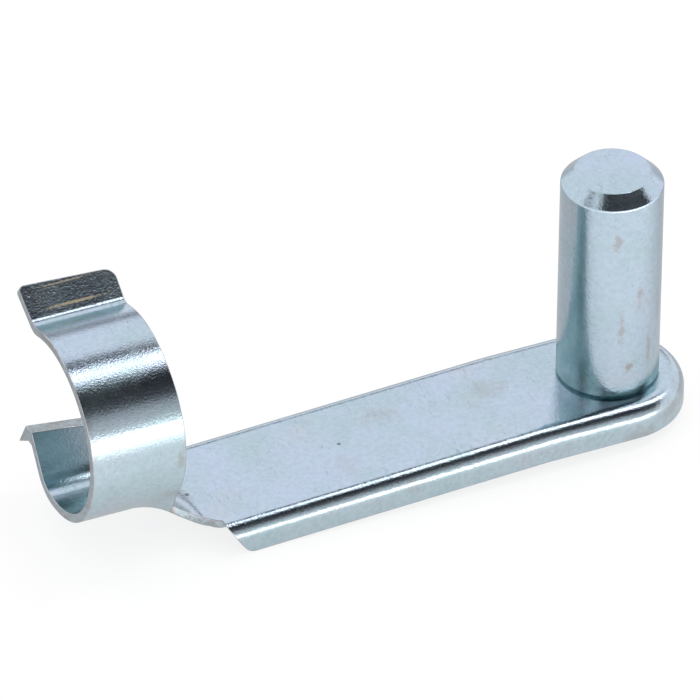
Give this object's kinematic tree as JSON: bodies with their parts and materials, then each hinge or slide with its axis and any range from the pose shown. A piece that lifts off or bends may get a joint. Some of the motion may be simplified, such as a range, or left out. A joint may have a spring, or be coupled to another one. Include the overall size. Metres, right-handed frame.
{
  "type": "spring clevis bolt",
  "caption": "Zinc-plated clevis bolt: a chamfered pin riveted to a sprung arm that ends in an open ring with a thumb tab, which snaps round a fork head's neck.",
  "frame": {"origin": "on the pin's axis, in the upper face of the clip's pad, where the pin stands; the pin mount starts just above it, at the top of the chamfer at the pin's foot", "axes": "+Z along the pin to its nose, -X along the arm to the ring, and the ring's mouth faces +Y"},
  "size_m": [0.0652, 0.0182, 0.0281],
  "materials": {
    "zinc_pin": "bright zinc plate on turned steel, smooth, faintly stained",
    "zinc_sheet": "bright blue zinc plate on spring steel sheet, finely mottled"
  },
  "bodies": {
    "root": {"clevis_pin": "zinc_pin", "spring_clip": "zinc_sheet"}
  },
  "joints": []
}
